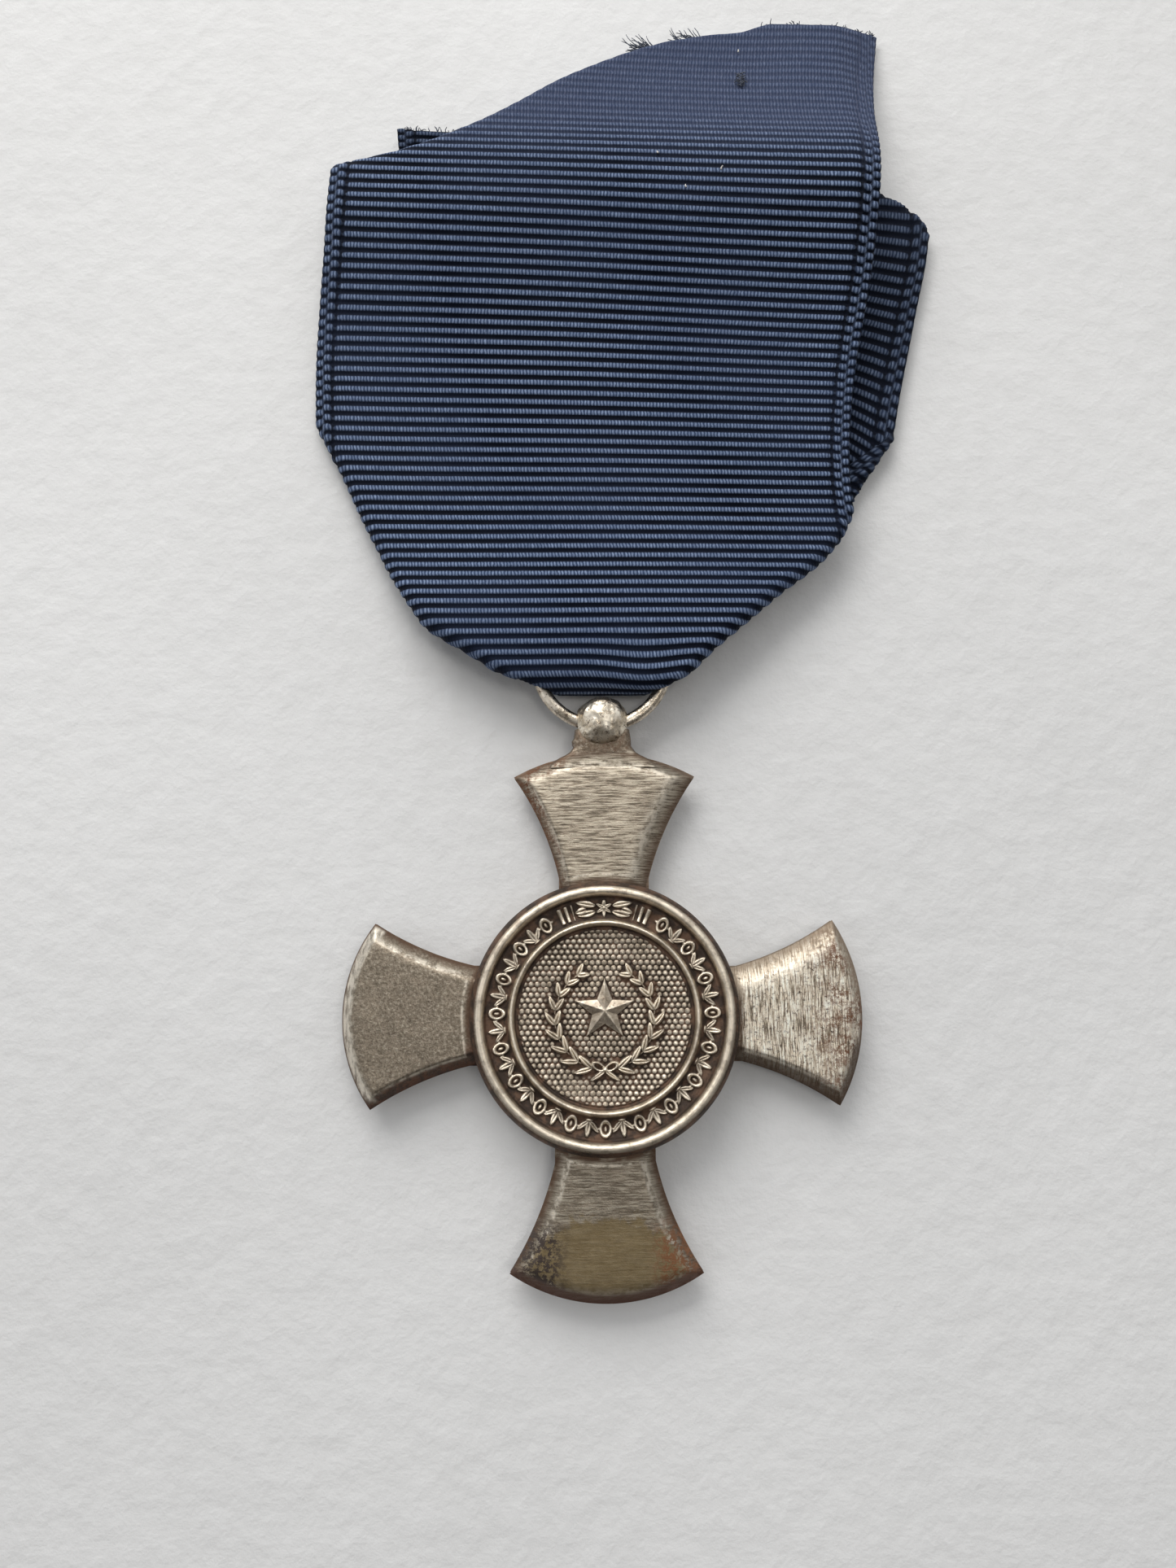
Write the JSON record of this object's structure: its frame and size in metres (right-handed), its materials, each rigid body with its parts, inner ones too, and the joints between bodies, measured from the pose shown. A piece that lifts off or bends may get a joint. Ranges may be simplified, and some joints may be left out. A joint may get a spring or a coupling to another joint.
{
  "type": "award cross medal on a ribbon",
  "caption": "Flared-arm cross medal lying flat, with a round centre medallion, hung by a drilled ball and a split wire ring from a folded, ribbed fabric ribbon.",
  "frame": {"origin": "centre of the reverse medallion's flat face, on the surface that the medal lies on", "axes": "+Y from the cross along the ribbon, +Z out of the decorated face, +X to the right of someone who looks at that face with the ribbon up"},
  "size_m": [0.0396, 0.0811, 0.0046],
  "materials": {
    "struck_metal": "worn warm silver wash on struck war metal, brushed across the arms, brown patina in the recesses and rust specks",
    "medallion_metal": "struck relief with bright worn crests and dark brown patina in the hollows",
    "ring_wire": "smooth drawn wire, worn bright with brown specks",
    "ribbon": "navy grosgrain tape with fine cross ribs and knotted selvedges"
  },
  "bodies": {
    "cross": {"cross_planchet": "struck_metal", "front_medallion": "medallion_metal", "reverse_medallion": "medallion_metal", "suspension_ball": "struck_metal"},
    "ribbon_waist": {"ribbon_gather": "ribbon"},
    "ring": {"suspension_ring": "ring_wire"},
    "ribbon": {"ribbon_front": "ribbon", "ribbon_front_corner": "ribbon", "ribbon_left_fold": "ribbon", "ribbon_right_fold": "ribbon", "ribbon_back": "ribbon", "ribbon_back_corner": "ribbon"}
  },
  "joints": [
    {"name": "ring_swing", "type": "hinge", "parent": "cross", "child": "ribbon_waist", "pos_m": [0, 0.0172, 0.00165], "axis": [1, 0, 0], "range_deg": [-100, 100]},
    {"name": "ring_spin", "type": "hinge", "parent": "ribbon_waist", "child": "ring", "pos_m": [0, 0.02092, 0.00165], "axis": [0, 0, 1], "continuous": true},
    {"name": "ribbon_swing", "type": "hinge", "parent": "ribbon_waist", "child": "ribbon", "pos_m": [0, 0.02482, 0.00165], "axis": [1, 0, 0], "range_deg": [-75, 75]}
  ]
}
